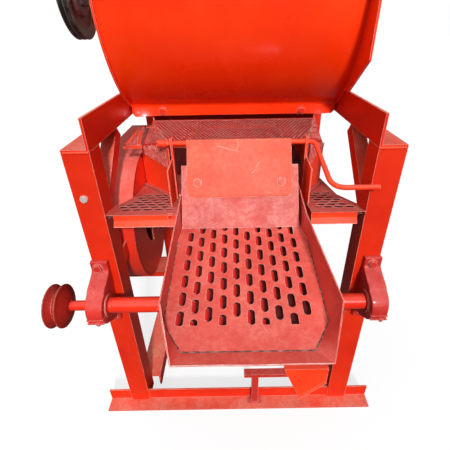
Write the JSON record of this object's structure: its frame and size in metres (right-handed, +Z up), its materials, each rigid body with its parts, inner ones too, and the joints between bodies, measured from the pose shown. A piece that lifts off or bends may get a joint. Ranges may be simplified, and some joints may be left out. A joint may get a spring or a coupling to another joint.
{
  "type": "peanut thresher",
  "caption": "Red-painted peanut thresher on an angle-iron frame, with a threshing drum, outlet hood, hinged gate, shaken slotted tray and side fan.",
  "frame": {"origin": "on the floor, under the front face of the front legs, midway between them", "axes": "+X to the machine's right seen from the outlet side, +Y to the back, towards the feed hopper, +Z up"},
  "size_m": [0.92, 1.2895, 1.6547],
  "materials": {
    "gloss_enamel": "glossy brush-on enamel, bright orange red, a little dust and rubbed edges",
    "dusty_enamel": "the same enamel under pale dust, worn matt, with scratches down to the primer",
    "cast_enamel": "enamel over rough castings and inner steel, darker and half matt",
    "bare_steel": "turned bare steel, lightly oiled and greyed"
  },
  "bodies": {
    "frame": {"front_leg_left": "gloss_enamel", "front_leg_right": "gloss_enamel", "rear_leg_left": "gloss_enamel", "rear_leg_right": "gloss_enamel", "base_rail_left": "gloss_enamel", "base_rail_right": "gloss_enamel", "front_foot_bar": "gloss_enamel", "rear_foot_bar": "gloss_enamel", "rear_cross_beam": "gloss_enamel", "knee_brace_left": "gloss_enamel", "knee_brace_right": "gloss_enamel", "front_wrapper": "gloss_enamel", "rear_wrapper": "gloss_enamel", "upper_cover": "gloss_enamel", "feed_hopper": "gloss_enamel", "end_plate_left": "gloss_enamel", "end_plate_right": "gloss_enamel", "hood_cheek_left": "gloss_enamel", "hood_cheek_right": "gloss_enamel", "throat_duct": "gloss_enamel", "gate_strap_left": "gloss_enamel", "gate_strap_right": "gloss_enamel", "fan_housing": "gloss_enamel", "outlet_spout": "gloss_enamel", "top_rail_left": "dusty_enamel", "top_rail_right": "dusty_enamel", "hood_mesh_cover": "dusty_enamel", "hood_side_shelf": "dusty_enamel", "wing_left": "dusty_enamel", "wing_right": "dusty_enamel", "drum_bearing_left": "cast_enamel", "drum_bearing_right": "cast_enamel", "concave_grate": "cast_enamel", "deck_rest": "cast_enamel", "tray_runner_left": "cast_enamel", "tray_runner_right": "cast_enamel", "front_bearing_left": "cast_enamel", "front_bearing_right": "cast_enamel", "fan_bearing": "cast_enamel", "spout_stand": "cast_enamel", "leg_bolt": "bare_steel"},
    "drum": {"drum_shaft": "bare_steel", "threshing_rotor": "cast_enamel", "drum_pulley": "bare_steel"},
    "shaker_shaft": {"front_shaft": "gloss_enamel", "front_pulley": "dusty_enamel", "shaker_eccentric": "bare_steel"},
    "pitman": {"pitman": "cast_enamel"},
    "shaker": {"sieve_tray": "dusty_enamel", "sieve_deck": "dusty_enamel", "pitman_bracket": "cast_enamel"},
    "gate": {"gate_rod": "gloss_enamel", "gate_leaf": "dusty_enamel", "gate_flap": "dusty_enamel", "gate_bolt_left": "dusty_enamel", "gate_bolt_right": "dusty_enamel"},
    "fan": {"fan_shaft": "bare_steel", "fan_impeller": "cast_enamel", "fan_pulley": "bare_steel"}
  },
  "joints": [
    {"name": "drum_spin", "type": "hinge", "parent": "frame", "child": "drum", "pos_m": [0, 0.492, 1.2], "axis": [1, 0, 0], "continuous": true},
    {"name": "shaft_spin", "type": "hinge", "parent": "frame", "child": "shaker_shaft", "pos_m": [0, -0.06, 0.516], "axis": [1, 0, 0], "continuous": true},
    {"name": "pitman_turn", "type": "hinge", "parent": "shaker_shaft", "child": "pitman", "pos_m": [0.018, -0.06, 0.522], "axis": [1, 0, 0], "continuous": true},
    {"name": "tray_shake", "type": "slide", "parent": "frame", "child": "shaker", "axis": [0, 0.988, 0.1547], "range_m": [-0.006, 0.006]},
    {"name": "gate_swing", "type": "hinge", "parent": "frame", "child": "gate", "pos_m": [0, 0.14, 0.873], "axis": [-1, 0, 0], "range_deg": [0, 45]},
    {"name": "fan_spin", "type": "hinge", "parent": "frame", "child": "fan", "pos_m": [0, 0.308, 0.584], "axis": [1, 0, 0], "continuous": true}
  ],
  "couplings": [
    {"joint": "pitman_turn", "follows": "shaft_spin", "ratio": -1}
  ]
}
